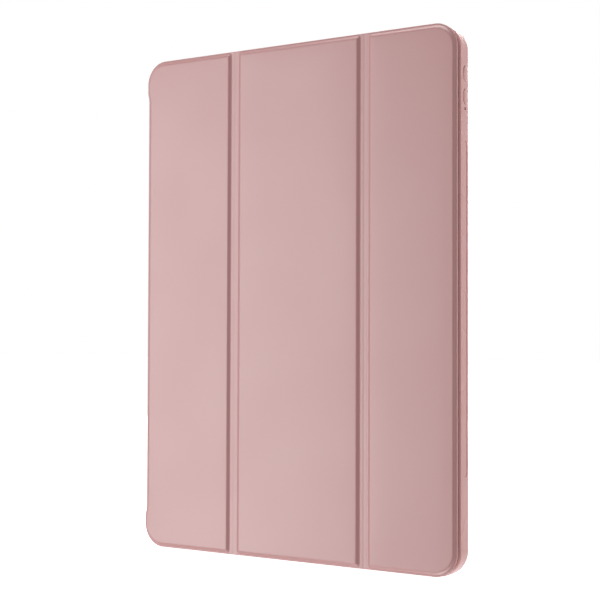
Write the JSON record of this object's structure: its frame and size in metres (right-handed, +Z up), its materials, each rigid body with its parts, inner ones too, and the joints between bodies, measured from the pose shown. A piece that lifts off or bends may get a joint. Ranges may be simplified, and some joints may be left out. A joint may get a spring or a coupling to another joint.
{
  "type": "tablet case",
  "caption": "Folio for a tablet: a soft tray with a camera window and port slots, and a stiffened cover in folding panels that wraps round the spine.",
  "frame": {"origin": "middle of the bottom edge, at the centre of the closed folio's width and depth", "axes": "+X from the spine to the free edge, +Y from the front cover to the back plate, +Z up the long side"},
  "size_m": [0.1844, 0.0122, 0.252],
  "materials": {
    "cover_skin": "smooth satin polyurethane, pale pink",
    "microfibre": "short brushed pile",
    "fibre_board": "pressed grey board",
    "soft_tray": "glossy, slightly translucent soft moulding",
    "stiff_plate": "satin pink plastic",
    "adhesive": "thin clear tape",
    "magnet": "nickel plated",
    "spring_steel": "rolled strip"
  },
  "bodies": {
    "tray": {"bumper_frame": "soft_tray", "back_plate": "stiff_plate", "camera_ring": "soft_tray", "back_strip": "cover_skin", "bond_tape": "adhesive", "rear_fold_skin": "cover_skin", "rear_fold_lining": "microfibre"},
    "spine": {"spine_skin": "cover_skin", "spine_board": "fibre_board", "spine_lining": "microfibre", "front_fold_skin": "cover_skin", "front_fold_lining": "microfibre"},
    "panel_a": {"panel_a_skin": "cover_skin", "panel_a_board": "fibre_board", "panel_a_lining": "microfibre", "stand_keeper": "spring_steel", "fold_ab_skin": "cover_skin", "fold_ab_lining": "microfibre"},
    "panel_b": {"panel_b_skin": "cover_skin", "panel_b_board": "fibre_board", "panel_b_lining": "microfibre", "fold_bc_skin": "cover_skin", "fold_bc_lining": "microfibre"},
    "panel_c": {"panel_c_skin": "cover_skin", "panel_c_board": "fibre_board", "panel_c_lining": "microfibre", "closing_magnet_1": "magnet", "closing_magnet_2": "magnet", "closing_magnet_3": "magnet", "closing_magnet_4": "magnet", "wake_magnet": "magnet"},
    "volume_up": {"volume_up_button": "soft_tray"},
    "volume_down": {"volume_down_button": "soft_tray"},
    "power": {"power_button": "soft_tray"}
  },
  "joints": [
    {"name": "rear_fold", "type": "hinge", "parent": "tray", "child": "spine", "pos_m": [-0.0913, 0.0051, 0.126], "axis": [0, 0, 1], "range_deg": [-179, 0], "deforming": ["rear_fold_skin", "rear_fold_lining"]},
    {"name": "front_fold", "type": "hinge", "parent": "spine", "child": "panel_a", "pos_m": [-0.0913, -0.00465, 0.126], "axis": [0, 0, -1], "range_deg": [0, 179], "deforming": ["front_fold_skin", "front_fold_lining"]},
    {"name": "fold_ab", "type": "hinge", "parent": "panel_a", "child": "panel_b", "pos_m": [-0.0346, -0.00615, 0.126], "axis": [0, 0, 1], "range_deg": [-170, 0], "deforming": ["fold_ab_skin", "fold_ab_lining"]},
    {"name": "fold_bc", "type": "hinge", "parent": "panel_b", "child": "panel_c", "pos_m": [0.0416, -0.00615, 0.126], "axis": [0, 0, -1], "range_deg": [0, 170], "deforming": ["fold_bc_skin", "fold_bc_lining"]},
    {"name": "volume_up_press", "type": "slide", "parent": "tray", "child": "volume_up", "axis": [-1, 0, 0], "range_m": [0, 0.0005], "stiffness_N_per_m": 2000},
    {"name": "volume_down_press", "type": "slide", "parent": "tray", "child": "volume_down", "axis": [-1, 0, 0], "range_m": [0, 0.0005], "stiffness_N_per_m": 2000},
    {"name": "power_press", "type": "slide", "parent": "tray", "child": "power", "axis": [0, 0, -1], "range_m": [0, 0.0005], "stiffness_N_per_m": 2000}
  ]
}
